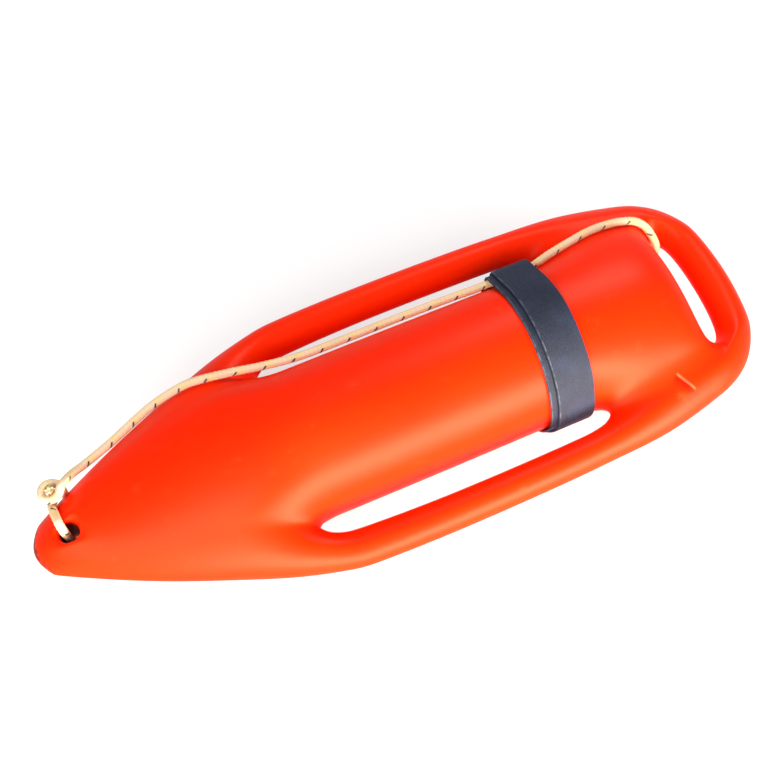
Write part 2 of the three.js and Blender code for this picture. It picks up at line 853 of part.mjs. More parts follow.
const rescueCan = new THREE.Group();
rescueCan.add(can);
rescueCan.updateMatrixWorld(true);
console.log("pitch " + THREE.MathUtils.radToDeg(restPitch).toFixed(4) + " degrees");
console.log("move " + can.position.toArray().map((v) => v.toFixed(4)));
reportHinge(can.matrixWorld);

export default rescueCan;
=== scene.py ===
# Rescue can: a moulded float with three hand slots, its towline and a webbing belt.
# Sizes are in millimetres in the float's own frame, +X from the nose to the rear handle and
# +Z up. Each finished mesh is laid at rest, in metres, by AT_REST.
from math import atan2, cos, pi, radians, sin, sqrt

import bmesh
import bpy
from mathutils import Matrix, Vector
from mathutils.bvhtree import BVHTree
from mathutils.geometry import convex_hull_2d, interpolate_bezier


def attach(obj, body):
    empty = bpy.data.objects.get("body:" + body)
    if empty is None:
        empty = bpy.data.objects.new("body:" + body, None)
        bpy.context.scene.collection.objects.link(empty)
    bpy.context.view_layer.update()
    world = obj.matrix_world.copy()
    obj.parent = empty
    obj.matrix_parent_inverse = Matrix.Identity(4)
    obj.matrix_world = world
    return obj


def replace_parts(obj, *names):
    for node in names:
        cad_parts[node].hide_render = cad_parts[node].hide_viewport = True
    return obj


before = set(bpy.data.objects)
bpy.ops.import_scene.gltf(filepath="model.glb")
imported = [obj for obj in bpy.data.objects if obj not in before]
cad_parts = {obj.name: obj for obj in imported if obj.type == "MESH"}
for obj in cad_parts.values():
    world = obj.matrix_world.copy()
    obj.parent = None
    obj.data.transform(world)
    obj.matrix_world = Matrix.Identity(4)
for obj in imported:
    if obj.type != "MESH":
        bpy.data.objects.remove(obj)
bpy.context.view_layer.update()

# The float's lie on the ground: it rests on its belly and on the belt
REST_PITCH = radians(-1.3590)
REST_MOVE = (-365.8384, 0, 69.1976)
METRES = 0.001
AT_REST = (
    Matrix.Scale(METRES, 4)
    @ Matrix.Translation(REST_MOVE)
    @ Matrix.Rotation(REST_PITCH, 4, "Y")
)

# Float
HULL_LENGTH = 728
HULL_WIDTH = 269
SIDE_SLOT_WIDTH = 28
BARREL_HEIGHT = 155
SIDE_SLOT_START = 265
SIDE_SLOT_LENGTH = 265
FRONT_SLOT_ROUND = 14
REAR_SLOT_ROUND = 19
BARREL_END = 671.6
REAR_SLOT_LENGTH = 125
SIDE_RAIL_WIDTH = 33.5
RAIL_HEIGHT = 37
NOSE_HOLE_SETBACK = 40
NOSE_HOLE_DIAMETER = 17.5
NOSE_HOLE_RIM_HEIGHT = 28
NOSE_BOW = 18
NOSE_TIP_LEAD = 5.2
REAR_EDGE_BOW = 2
BARREL_WIDTH = HULL_WIDTH - 2 * (SIDE_RAIL_WIDTH + SIDE_SLOT_WIDTH)

# Control cage of the float, as shares of the sizes above. Its stations run from the nose tip to
# the barrel's end, and None stands for the nose hole's.
NOSE_STATIONS = (0, 0.057, None, 0.234, 0.408, 0.623, 0.823)
SLOT_STATIONS = (0.33, 0.68)
TAIL_STATIONS = (0.45, 0.88)
OUTLINE = (
    0.185, 0.19, 0.285, 0.37, 0.535, 0.706, 0.868, 0.962, 0.982, 0.999, 0.995, 0.982, 0.971,
    0.96, 0.847, 0.813,
)
DEPTH = (0, 0.2, 0.34, 0.38, 0.5, 0.737, 0.903, 0.974, 0.987, 1, 1, 1, 1, 1, 0.884, 0)
BARREL = (1.001, 1.002, 1.004, 1.001, 0.994, 0.992, 0.992, 0.957, 0.922)
RAIL = (1.04, 1.063, 1.008, 0.989, 0.972, 0.953, 1.103, 0.9, 0.962)
TIP_LANES = (0, 0.25, 0.5, 0.7, 0.85, 1)
NOSE_LANES = (0, 0.42, 0.66, 0.84, 0.98, 1.08)
NOSE_SWELL = 1.06
NOSE_CROWN = 2.2
NOSE_SHOULDER = 0.62
NOSE_EDGE = 1.02
NOSE_RIM_SLOPE = 0.3
VALLEY = {5: (0.99, 0.92, 0.93, 0.95), 6: (0.97, 0.8, 0.8, 0.85)}
WEB_HEIGHT = ((0.52, 0.37, 0.973), (0.43, 0.35, 0.973), (0.33, 0.31, 0.937))
WEB_INNER = (0.587, 0.526, 0.52)
WEB_OUTER = (0.744, 0.647, 0.606)
SHOULDER = (0.98, 0.94)
REAR_RING = (
    ((-0.014, 0.577, 0.85), (0.161, 0.597, 1), (0.635, 0.758, 0)),
    ((0.142, 0.58, 0.75), (0.518, 0.439, 1), (0.97, 0.522, 0)),
    ((0.186, 0.44, 0), (0.574, 0.335, 1), (1.083, 0.371, 0)),
    ((0.216, 0, 0), (0.674, 0, 1), (1.16, 0, 0)),
)

# How far out control places lie for the subdivided skin to pass at 1: at the top and the side
# of a barrel of eight places, on a rail of four, and round the nose hole
OCTAGON = 1.108
OCTAGON_SIDE = 0.7836
SQUARE = 1.5
HOLE_RING = 0.902
CAGE_LEVELS = 3
CAGE_MERGE = 1e-3
MERGE = 1e-4
SHARP_ANGLE = radians(40)
TURN_STEPS = 64
SLOT_FRONT = len(NOSE_STATIONS)
SLOT_REAR = SLOT_FRONT + len(SLOT_STATIONS) + 3

# Port and plug
PORT_DIAMETER = 20
PORT_SETBACK = 71.5
SEAT_DIAMETER = 28.7
PLUG_RECESS = 1.2
PLUG_GAP = 0.35
FLANGE_THICKNESS = 2.6
FLANGE_ROUND = 0.8
FLANGE_CHAMFER = 0.3 * FLANGE_ROUND
STEM_LENGTH = 9
COIN_SLOT_LENGTH = 20
COIN_SLOT_WIDTH = 3
COIN_SLOT_DEPTH = 1.2

# Belt
BELT_WIDTH = 38
BELT_THICKNESS = 2.2
BELT_LEAD = 33.5
TURN_SHIFT = 7
LAYER_GAP = 0.6
BELT_CLEARANCE = 0.45
BELT_FLAT_WIDTH = 24
PATCH_THICKNESS = 1.4
PATCH_LENGTH = 34
PATCH_MARGIN = 3
TAB_LENGTH = 48
TAB_ROOT_GAP = 0.6
SEAM_GAP = 0.3
BELT_SETBACK = SIDE_SLOT_START + SIDE_SLOT_LENGTH - BELT_LEAD
BELT_REAR = BELT_SETBACK + BELT_WIDTH
BELT_FRONT = BELT_SETBACK - TURN_SHIFT
BELT_START = radians(215)
FIRST_TURN_END = BELT_START - 2 * pi
TAB_ROOT = radians(-14) - 2 * pi
CLIMB = radians(45)
BARREL_RADIUS = (BARREL_WIDTH + BARREL_HEIGHT) / 4

# Towline
LINE_DIAMETER = 8
LINE_CLEARANCE = 0.4
LINE_REACH = LINE_DIAMETER / 2 + LINE_CLEARANCE
LINE_TAIL_LAP = 9
KNOT_PLACE = (37, 42.3, 28)
KNOT_RADIUS = 8.95
KNOT_PITCH = 8.95
KNOT_TURN = radians(320)
KNOT_STEPS = 16
CURVE_STEPS = 60
KNOT_WAY_OUT = radians(-35)
ROUTE_HULL_WIDTH = 269
ROUTE_BARREL_HEIGHT = 155
UPPER_LINE_ANGLE = radians(29)
LOWER_LINE_ANGLE = radians(-60)


def mix(a, b, share):
    return a + (b - a) * share


def eased(start, end, value):
    share = min(1, max(0, (value - start) / (end - start)))
    return share * share * (3 - 2 * share)


# Camera, fitted to the outline of the float in the photograph

CAMERA_PLACE = Vector((176.52, -393.17, 1056.72))
CAMERA_RIGHT = Vector((0.91548, -0.40236, 0.00073))
CAMERA_UP = Vector((0.36864, 0.83948, 0.39923))
CAMERA_LENS = 55.70
SENSOR_WIDTH = 36


def place_camera():
    data = bpy.data.cameras.new("camera")
    data.sensor_width = SENSOR_WIDTH
    data.lens = CAMERA_LENS
    camera = bpy.data.objects.new("camera", data)
    bpy.context.scene.collection.objects.link(camera)
    turn = AT_REST.to_3x3().normalized()
    axes = [turn @ CAMERA_RIGHT, turn @ CAMERA_UP, turn @ CAMERA_RIGHT.cross(CAMERA_UP)]
    facing = Matrix(axes).transposed().to_4x4()
    camera.matrix_world = Matrix.Translation(AT_REST @ CAMERA_PLACE) @ facing
    bpy.context.scene.camera = camera


place_camera()


# Meshes


def piece_of(bm, name, body, smooth=True):
    """A finished piece from a mesh in millimetres, laid at rest."""
    bm.transform(AT_REST)
    for face in bm.faces:
        face.smooth = smooth
    mesh = bpy.data.meshes.new(name)
    bm.to_mesh(mesh)
    bm.free()
    piece = bpy.data.objects.new(name, mesh)
    bpy.context.scene.collection.objects.link(piece)
    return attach(piece, body)


def sheet(bm, rows, gaps=()):
    """A grid of faces through rows of places, open at the rows and lanes in gaps."""
    lanes, lines = len(rows[0]) - 1, len(rows) - 1
    made = bmesh.ops.create_grid(bm, x_segments=lanes, y_segments=lines, size=1, calc_uvs=True)
    ids = {
        v: (round((v.co.y + 1) / 2 * lines), round((v.co.x + 1) / 2 * lanes))
        for v in made["verts"]
    }
    faces = {face for v in ids for face in v.link_faces}
    open_faces = [f for f in faces if tuple(map(min, zip(*(ids[v] for v in f.verts)))) in gaps]
    bmesh.ops.delete(bm, geom=open_faces, context="FACES")
    for v, (line, lane) in ids.items():
        if v.is_valid:
            v.co = rows[line][lane]


def swept(path, section, end_inset=0.0):
    """A closed body round a path of (centre, side, up, distance).

    section(distance) gives the outline there, as places (a, b) along side and up. The UV map
    runs round the section from 0 to 1, and along the path in millimetres.
    """
    bm = bmesh.new()
    uv = bm.loops.layers.uv.new("along")
    rows = [
        [centre + a * side + b * up for a, b in section(distance)]
        for centre, side, up, distance in path
    ]
    sheet(bm, rows)
    length = path[-1][3]
    for face in bm.faces:
        for loop in face.loops:
            loop[uv].uv.y *= length
    bmesh.ops.remove_doubles(bm, verts=bm.verts[:], dist=MERGE)
    rims = [edge for edge in bm.edges if edge.is_boundary]
    caps = bmesh.ops.holes_fill(bm, edges=rims, sides=0)["faces"]
    if end_inset:
        bmesh.ops.inset_individual(bm, faces=caps, thickness=end_inset, depth=end_inset / 2)
    bmesh.ops.recalc_face_normals(bm, faces=bm.faces[:])
    return bm


# Float


def station_places():
    """Where each station of the cage lies along the float."""
    end = SIDE_SLOT_START + SIDE_SLOT_LENGTH
    return [
        *(NOSE_HOLE_SETBACK if s is None else s * SIDE_SLOT_START for s in NOSE_STATIONS),
        SIDE_SLOT_START,
        SIDE_SLOT_START + FRONT_SLOT_ROUND,
        *(SIDE_SLOT_START + s * SIDE_SLOT_LENGTH for s in SLOT_STATIONS),
        end - REAR_SLOT_ROUND,
        end,
        *(mix(end, BARREL_END, s) for s in TAIL_STATIONS),
        BARREL_END,
    ]


def rim_place(limit, crest):
    """The control place that makes a rim pass through limit, given its crest's place."""
    return (3 * limit - crest) / 2


def barrel_row(x, i):
    """A station between the side slots: over the barrel, down to the slot and over the rail."""
    k = i - SLOT_FRONT
    outer = OUTLINE[i] * HULL_WIDTH / 2
    half = BARREL[k] * BARREL_WIDTH / 2
    depth = DEPTH[i] * BARREL_HEIGHT / 2
    rail = RAIL[k] * SIDE_RAIL_WIDTH / 2
    shoulder = OCTAGON_SIDE * half
    crest = outer - rail
    return [
        [x, 0, OCTAGON * depth],
        [x, shoulder, OCTAGON_SIDE * depth],
        [x, rim_place(half, shoulder), 0],
        [x, rim_place(outer - 2 * rail, crest), 0],
        [x, crest, SQUARE * RAIL_HEIGHT / 2],
        [x, rim_place(outer, crest), 0],
    ]


def nose_row(x, i, slot_row):
    """A station of the nose, whose lanes drift to those of the slots' first station."""
    outer = OUTLINE[i] * HULL_WIDTH / 2
    slot_outer = OUTLINE[SLOT_FRONT] * HULL_WIDTH / 2
    depth = DEPTH[i] * BARREL_HEIGHT / 2
    blend = (i - 1) / (SLOT_FRONT - 1)
    row = []
    for lane, start in enumerate(NOSE_LANES):
        share = mix(start, slot_row[lane][1] / slot_outer, blend)
        reach = min(1, share / NOSE_EDGE)
        swell = NOSE_SWELL * (1 - reach**NOSE_CROWN) ** NOSE_SHOULDER
        at_edge = lane == len(NOSE_LANES) - 1
        if i in VALLEY and lane and not at_edge:
            swell *= VALLEY[i][lane - 1]
        row.append([x, outer * share, 0 if at_edge else depth * swell])
    return row


def tail_row(x, i):
    """A station behind the side slots, where a web joins the barrel and the rail."""
    k = i - SLOT_REAR - 1
    row = barrel_row(x, i)
    half_width = HULL_WIDTH / 2
    heights = WEB_HEIGHT[k]
    if k < len(SHOULDER):
        row[1][2] *= SHOULDER[k]
    row[2] = [x, WEB_INNER[k] * half_width, heights[0] * BARREL_HEIGHT / 2]
    row[3] = [x, WEB_OUTER[k] * half_width, heights[1] * BARREL_HEIGHT / 2]
    row[4][2] = heights[2] * SQUARE * RAIL_HEIGHT / 2
    return row


def hull_rows():
    """The quarter's rows from the nose tip to the barrel's end, round the front of its slot."""
    places = station_places()
    slot_row = barrel_row(places[SLOT_FRONT], SLOT_FRONT)
    tip = OUTLINE[0] * HULL_WIDTH / 2
    rows = [[[NOSE_BOW * s * sqrt(s) - NOSE_TIP_LEAD, tip * s, 0] for s in TIP_LANES]]
    for i, x in enumerate(places[1:], 1):
        if i < SLOT_FRONT:
            rows.append(nose_row(x, i, slot_row))
        else:
            rows.append(barrel_row(x, i) if i <= SLOT_REAR else tail_row(x, i))
    rows[-2][1][1] = REAR_SLOT_LENGTH / 2
    rows[-1][0][2] = 0
    rows[-1][1] = [BARREL_END - REAR_EDGE_BOW, REAR_SLOT_LENGTH / 2, 0]
    rows[-1][2][0] = BARREL_END - REAR_EDGE_BOW
    return rows


def nose_hole_rows(rows):
    """Half a collar from the nose's skin into the hole, down to the float's middle plane."""
    station = NOSE_STATIONS.index(None)
    radius = NOSE_HOLE_DIAMETER / 2 / HOLE_RING
    before, row, after = rows[station - 1 : station + 2]
    edge = [before[0], before[1], row[1], after[1], after[0]]
    top, middle = [], []
    for k in range(len(edge)):
        turn = pi * (1 - k / (len(edge) - 1))
        x = NOSE_HOLE_SETBACK + radius * cos(turn)
        y = radius * sin(turn) if 0 < k < len(edge) - 1 else 0
        rise = NOSE_RIM_SLOPE * (x - NOSE_HOLE_SETBACK)
        top.append([x, y, NOSE_HOLE_RIM_HEIGHT + rise])
        middle.append([x, y, 0])
    return [edge, top, middle]


def rear_handle_rows(rows):
    """The rear rail, from the end of the near side's rail to the float's middle."""
    reach = HULL_LENGTH - BARREL_END
    rail_top = SQUARE * RAIL_HEIGHT / 2
    ring = [
        [[BARREL_END + x * reach, y * HULL_WIDTH / 2, z * rail_top] for x, y, z in row]
        for row in REAR_RING
    ]
    return [rows[-1][3:], *ring]


def hull_cage():
    """A quarter of the float as grids of faces, mirrored twice."""
    bm = bmesh.new()
    rows = hull_rows()
    hole = NOSE_STATIONS.index(None)
    gaps = {(i, 2) for i in range(SLOT_FRONT, SLOT_REAR)} | {(hole - 1, 0), (hole, 0)}
    sheet(bm, rows, gaps)
    sheet(bm, nose_hole_rows(rows))
    handle = rear_handle_rows(rows)
    sheet(bm, handle)
    for corner in (
        (rows[-1][2], handle[2][0], handle[1][0], rows[-1][3]),
        (rows[-1][1], handle[3][0], handle[2][0], rows[-1][2]),
    ):
        bm.faces.new([bm.verts.new(place) for place in corner])
    bmesh.ops.remove_doubles(bm, verts=bm.verts[:], dist=CAGE_MERGE)
    for axis in "YZ":
        geometry = [*bm.verts, *bm.edges, *bm.faces]
        bmesh.ops.mirror(bm, geom=geometry, axis=axis, merge_dist=CAGE_MERGE)
    bmesh.ops.recalc_face_normals(bm, faces=bm.faces[:])
    return bm


def shaped(bm, levels):
    """The mesh after so many rounds of Catmull-Clark subdivision."""
    mesh = bpy.data.meshes.new("shaping")
    bm.to_mesh(mesh)
    bm.free()
    holder = bpy.data.objects.new("shaping", mesh)
    bpy.context.scene.collection.objects.link(holder)
    smooth = holder.modifiers.new("round", "SUBSURF")
    smooth.levels = smooth.render_levels = levels
    smooth.use_limit_surface = False
    ready = holder.evaluated_get(bpy.context.evaluated_depsgraph_get())
    result = bmesh.new()
    result.from_mesh(ready.to_mesh())
    ready.to_mesh_clear()
    bpy.data.objects.remove(holder)
    bpy.data.meshes.remove(mesh)
    return result


hull = shaped(hull_cage(), CAGE_LEVELS)
hull_tree = BVHTree.FromBMesh(hull)


def skin_radius(x, angle):
    """How far the skin lies from the float's axis, at a place along it and an angle round it."""
    way = Vector((0, cos(angle), sin(angle)))
    return hull_tree.ray_cast(Vector((x, 0, 0)), way)[3]


# Towline route, from the cut end in its nose knot to the end sewn under the belt


def beside_barrel(angle, off):
    """A place across the barrel, so far off its ellipse at an angle."""
    a, b = BARREL_WIDTH / 2, BARREL_HEIGHT / 2
    normal = Vector((cos(angle) / a, sin(angle) / b)).normalized()
    return Vector((a * cos(angle), b * sin(angle))) + off * normal


UPPER_LINE = beside_barrel(UPPER_LINE_ANGLE, LINE_REACH + LINE_CLEARANCE)
LOWER_LINE = beside_barrel(LOWER_LINE_ANGLE, LINE_REACH + LINE_CLEARANCE)

CUT_END_ROUTE = (
    (37, 42.3, 31.8), (37, 42.3, 26.2), (36.9, 42.2, 20.2), (36.1, 41, 14.6), (34.6, 37.6, 12),
)
NOSE_LOOP_ROUTE = (
    (33.2, 33.6, 13.4), (33.2, 29, 17.4), (33.8, 21, 24.4), (34.6, 13.6, 28.8), (35.4, 7.4, 30.2),
    (36, 3, 25), (36.2, 1.6, 16), (36.3, 1.2, 8), (36.3, 1, 0), (36.3, 1.4, -12), (36.3, 4, -25),
    (37, 10.6, -32), (39.2, 20, -28.6), (42.2, 28.6, -23.4), (44.4, 36, -16.6),
    (45.6, 41.4, -9.8), (46, 43.8, -2), (46, 43.6, 5), (46, 42.6, 12),
)
FRONT_RUN_ROUTE = (
    (47.8, 41.8, 29.1), (52.8, 46.8, 26), (59, 53, 19.4), (72.9, 60.6, 12.3), (87.7, 66.2, 11.5),
    (101.5, 71.4, 11.5), (124.9, 81, 13), (147.9, 87.4, 19), (174.7, 89.4, 28),
    (187.5, 88.6, 34), (199.6, 85.7, 38.2), (228.4, 80.8, 39.4), (258.8, 75.3, 38.4),
    (294.7, 70.9, 38.4), (345.8, 70.5, 38), (400, 70.2, 38.6), (450, 69.3, 39.4),
)
REAR_RUN_ROUTE = (
    (560, 73.5, 40.8), (584.3, 77.6, 39.2), (604, 79.8, 38), (622, 80.2, 36.6), (641.9, 78.4, 34),
    (655.4, 74.6, 32.6), (663, 68.4, 31.2), (668.4, 59.6, 25.6), (672.6, 53, 14), (674, 51, 0),
    (671.5, 52.4, -14), (666.4, 56.4, -27), (657.8, 60.6, -38.2), (641, 62.2, -49.6),
    (628, 61.6, -54.8), (615, 59.2, -57.6), (590, 54.5, -62.6), (565, 48.5, -67.6),
)


def stretched(place):
    """A place chosen beside the float of ROUTE_HULL_WIDTH, moved as the float's sizes change."""
    x, y, z = place
    return Vector((x, y * HULL_WIDTH / ROUTE_HULL_WIDTH, z * BARREL_HEIGHT / ROUTE_BARREL_HEIGHT))


def beside_skin(place):
    """The place itself, or the nearest one outside it where the line clears the skin."""
    place = stretched(place)
    skin, normal, _, distance = hull_tree.find_nearest(place)
    way = (place - skin).normalized()
    outside = way.dot(normal) > 0
    if outside and distance >= LINE_REACH + LINE_CLEARANCE:
        return place
    return skin + way * (LINE_REACH + LINE_CLEARANCE) * (1 if outside else -1)


def knot_coil():
    """The turn of the knot round the cut end, rising by its pitch."""
    for k in range(KNOT_STEPS + 1):
        gone = KNOT_TURN * (k / KNOT_STEPS - 1)
        angle = KNOT_WAY_OUT + gone
        turn = Vector((cos(angle), sin(angle), 0)) * KNOT_RADIUS
        yield stretched(KNOT_PLACE) + turn + Vector((0, 0, KNOT_PITCH * gone / (2 * pi)))


def line_route():
    """Cut end, loop through the nose, knot, front run, belt, rear slot, and belt again."""
    middle = (BELT_FRONT + BELT_REAR) / 2
    return [
        *map(beside_skin, (*CUT_END_ROUTE, *NOSE_LOOP_ROUTE)),
        *knot_coil(),
        *map(beside_skin, FRONT_RUN_ROUTE),
        *(Vector((x, *UPPER_LINE)) for x in (BELT_FRONT - LINE_TAIL_LAP, middle, BELT_REAR)),
        *map(beside_skin, REAR_RUN_ROUTE),
        *(Vector((x, *LOWER_LINE)) for x in (BELT_REAR, middle, BELT_SETBACK + LINE_TAIL_LAP)),
    ]


def through(points):
    """A centripetal Catmull-Rom curve through the points, as many close places."""
    ends = [2 * points[0] - points[1], *points, 2 * points[-1] - points[-2]]
    places = []
    for p0, p1, p2, p3 in zip(ends, ends[1:], ends[2:], ends[3:]):
        d0, d1, d2 = (sqrt((b - a).length) for a, b in ((p0, p1), (p1, p2), (p2, p3)))
        start = ((p1 - p0) / d0 - (p2 - p0) / (d0 + d1) + (p2 - p1) / d1) * d1
        end = ((p2 - p1) / d1 - (p3 - p1) / (d1 + d2) + (p3 - p2) / d2) * d1
        places += interpolate_bezier(p1, p1 + start / 3, p2 - end / 3, p2, CURVE_STEPS)[:-1]
    return [*places, points[-1]]


def evenly(places, step):
    """Places along a line of close places, one step apart, with their distances."""
    total = sum((b - a).length for a, b in zip(places, places[1:]))
    count = round(total / step)
    marks = [total * k / count for k in range(count + 1)]
    spaced, gone = [], 0.0
    for a, b in zip(places, places[1:]):
        reach = (b - a).length
        while len(spaced) < count and marks[len(spaced)] <= gone + reach:
            share = (marks[len(spaced)] - gone) / reach
            spaced.append((a.lerp(b, share), marks[len(spaced)]))
        gone += reach
    return [*spaced, (places[-1], total)]


LINE_STEP = 1.0
LINE_SIDES = 32
PLAIT_STRANDS = 8
PLAIT_PITCH = 4.4
PLAIT_HEIGHT = 0.28
PLAIT_MEAN = 0.6
CUT_INSET = 0.7


def line_frames():
    """Each place of the line with a side and an up way that never spin round it."""
    spaced = evenly(through(line_route()), LINE_STEP)
    side = Vector((0, 1, 0))
    frames = []
    for k, (centre, distance) in enumerate(spaced):
        before, after = spaced[max(0, k - 1)][0], spaced[min(len(spaced) - 1, k + 1)][0]
        along = (after - before).normalized()
        side = (side - side.dot(along) * along).normalized()
        frames.append((centre, side, along.cross(side), distance))
    return frames


def plait_section(distance):
    """The plait's ridges: strands cross left and right over each other round the line."""
    section = []
    for k in range(LINE_SIDES + 1):
        turn = 2 * pi * k / LINE_SIDES
        strand = cos(PLAIT_STRANDS * turn / 2) * cos(pi * distance / PLAIT_PITCH)
        radius = LINE_DIAMETER / 2 + PLAIT_HEIGHT * (abs(strand) - PLAIT_MEAN)
        section.append((radius * cos(turn), radius * sin(turn)))
    return section


def make_towline():
    frames = line_frames()
    body = swept(frames, plait_section, end_inset=CUT_INSET)
    line = piece_of(body, "towline_rope", "can")
    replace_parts(line, "towline")
    return line


line = make_towline()


# Belt

OUTLINE_SIDES = 72
LINE_OUTLINE_SIDES = 24
TABLE_STEPS = 720
NORMAL_REACH = 3
BELT_STEP = 2.0
BELT_SPLIT = 4


def belt_outline():
    """The convex outline, across the barrel, of the skin and of the line that runs over it."""
    planes = [mix(BELT_FRONT, BELT_REAR, s) for s in (0, 0.25, 0.5, 0.75, 1)]
    points = []
    for k in range(OUTLINE_SIDES):
        angle = 2 * pi * k / OUTLINE_SIDES
        radius = max(skin_radius(x, angle) for x in planes)
        points.append(Vector((radius * cos(angle), radius * sin(angle))))
    bottom = -max(skin_radius(x, -pi / 2) for x in planes)
    points += [Vector((side * BELT_FLAT_WIDTH / 2, bottom)) for side in (1, -1)]
    for middle in (UPPER_LINE, LOWER_LINE):
        for k in range(LINE_OUTLINE_SIDES):
            turn = 2 * pi * k / LINE_OUTLINE_SIDES
            points.append(middle + LINE_REACH * Vector((cos(turn), sin(turn))))
    return [points[k] for k in convex_hull_2d(points)]


def outline_table():
    """Places round the outline with their outward normals, by angle about the axis."""
    outline = belt_outline()
    count = TABLE_STEPS
    perimeter = sum((b - a).length for a, b in zip(outline, [*outline[1:], outline[0]]))
    places = [place for place, _ in evenly([*outline, outline[0]], perimeter / count)][:count]
    if sum(a.cross(b) for a, b in zip(places, places[1:])) < 0:
        places.reverse()
    table = []
    for k, place in enumerate(places):
        along = (places[(k + NORMAL_REACH) % count] - places[k - NORMAL_REACH]).normalized()
        table.append((atan2(place.y, place.x), place, Vector((along.y, -along.x))))
    return sorted(table, key=lambda row: row[0])


BELT_TABLE = outline_table()


def read_outline(angle):
    """The outline's place and normal at an angle, between the two nearest rows."""
    wrapped = atan2(sin(angle), cos(angle))
    rows = [(row[0] - 2 * pi, *row[1:]) for row in BELT_TABLE[-1:]] + BELT_TABLE
    rows += [(row[0] + 2 * pi, *row[1:]) for row in BELT_TABLE[:1]]
    k = max(i for i, row in enumerate(rows[:-1]) if row[0] <= wrapped)
    share = (wrapped - rows[k][0]) / (rows[k + 1][0] - rows[k][0])
    return rows[k][1].lerp(rows[k + 1][1], share), rows[k][2].lerp(rows[k + 1][2], share)


def belt_place(angle):
    """The webbing's mid-plane, as it climbs over its own start and over the patches."""
    place, normal = read_outline(angle)
    second = eased(-FIRST_TURN_END - CLIMB, -FIRST_TURN_END, -angle)
    patches = eased(-TAB_ROOT - CLIMB / 2, -TAB_ROOT, -angle)
    shift = TURN_SHIFT * eased(-FIRST_TURN_END - CLIMB, -FIRST_TURN_END + CLIMB / 2, -angle)
    rise = BELT_CLEARANCE + BELT_THICKNESS / 2 + second * (BELT_THICKNESS + LAYER_GAP)
    rise += patches * 2 * (PATCH_THICKNESS + SEAM_GAP)
    place = place + rise * normal
    x = BELT_FRONT + shift + BELT_WIDTH / 2
    return Vector((x, *place)), Vector((0, *normal))


def belt_frames(start, end):
    """Frames along the webbing from one angle to another: its middle, +X and outward ways.

    The distance along is summed over closer places, BELT_SPLIT of them to a frame.
    """
    count = BELT_SPLIT * round(abs(end - start) * BARREL_RADIUS / BELT_STEP)
    close = [belt_place(mix(start, end, k / count)) for k in range(count + 1)]
    frames, gone, last = [], 0.0, None
    for k, (centre, normal) in enumerate(close):
        if last is not None:
            gone += (centre - last).length
        last = centre
        if k % BELT_SPLIT == 0:
            frames.append((centre, Vector((1, 0, 0)), normal, gone))
    return frames


RIB_PITCH = 2.5
RIB_HEIGHT = 0.16
RIB_STEPS = 72
SELVEDGE_WIDTH = 2.6
SELVEDGE_STEPS = 6


def webbing_section():
    """Across the webbing: ribbed on both faces, with a rounded selvedge at each edge."""
    flat, half_thickness = BELT_WIDTH - BELT_THICKNESS, BELT_THICKNESS / 2
    side = []
    for k in range(RIB_STEPS + 1):
        a = mix(-flat / 2, flat / 2, k / RIB_STEPS)
        ribbed = eased(flat / 2, flat / 2 - SELVEDGE_WIDTH, abs(a))
        rib = RIB_HEIGHT * (cos(2 * pi * a / RIB_PITCH) - 1) * ribbed
        side.append((a, half_thickness + rib))
    turns = [pi * k / SELVEDGE_STEPS for k in range(1, SELVEDGE_STEPS)]
    edge = [(flat / 2 + half_thickness * sin(t), half_thickness * cos(t)) for t in turns]
    half = [*side, *edge]
    whole = [*half, *((-a, -b) for a, b in half)]
    return [*whole, whole[0]]


def webbing(name, body, frames):
    section = webbing_section()
    return piece_of(swept(frames, lambda _: section), name, body)


TAB_START = TAB_ROOT - TAB_ROOT_GAP / BARREL_RADIUS
TAB_END = TAB_START - TAB_LENGTH / BARREL_RADIUS
PATCH_START = TAB_START - PATCH_MARGIN / BARREL_RADIUS
PATCH_END = PATCH_START - PATCH_LENGTH / BARREL_RADIUS

HOOK_DROP = (BELT_THICKNESS + PATCH_THICKNESS) / 2 + SEAM_GAP
LOOP_DROP = HOOK_DROP + PATCH_THICKNESS + SEAM_GAP
PATCH_WIDTH = BELT_WIDTH - 2 * PATCH_MARGIN
PATCH_SECTION = (
    (-PATCH_WIDTH / 2, PATCH_THICKNESS / 2), (PATCH_WIDTH / 2, PATCH_THICKNESS / 2),
    (PATCH_WIDTH / 2, -PATCH_THICKNESS / 2), (-PATCH_WIDTH / 2, -PATCH_THICKNESS / 2),
    (-PATCH_WIDTH / 2, PATCH_THICKNESS / 2),
)


def patch(name, body, drop, shift=0.0):
    """A patch of hook or loop pile, so far inside the tab's mid-plane."""
    frames = [
        (centre - drop * up - shift * side, side, up, gone)
        for centre, side, up, gone in belt_frames(PATCH_START, PATCH_END)
    ]
    return piece_of(swept(frames, lambda _: PATCH_SECTION), name, body, smooth=False)


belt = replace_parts(webbing("belt_webbing", "can", belt_frames(BELT_START, TAB_ROOT)), "belt_wrap")
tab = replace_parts(webbing("tab_webbing", "tab", belt_frames(TAB_START, TAB_END)), "closure_tab")
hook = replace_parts(patch("hook_pile", "tab", HOOK_DROP), "hook_patch")
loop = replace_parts(patch("loop_pile", "can", LOOP_DROP, TURN_SHIFT / 2), "loop_patch")


# Port, its plug, and the float finished with its flat belly


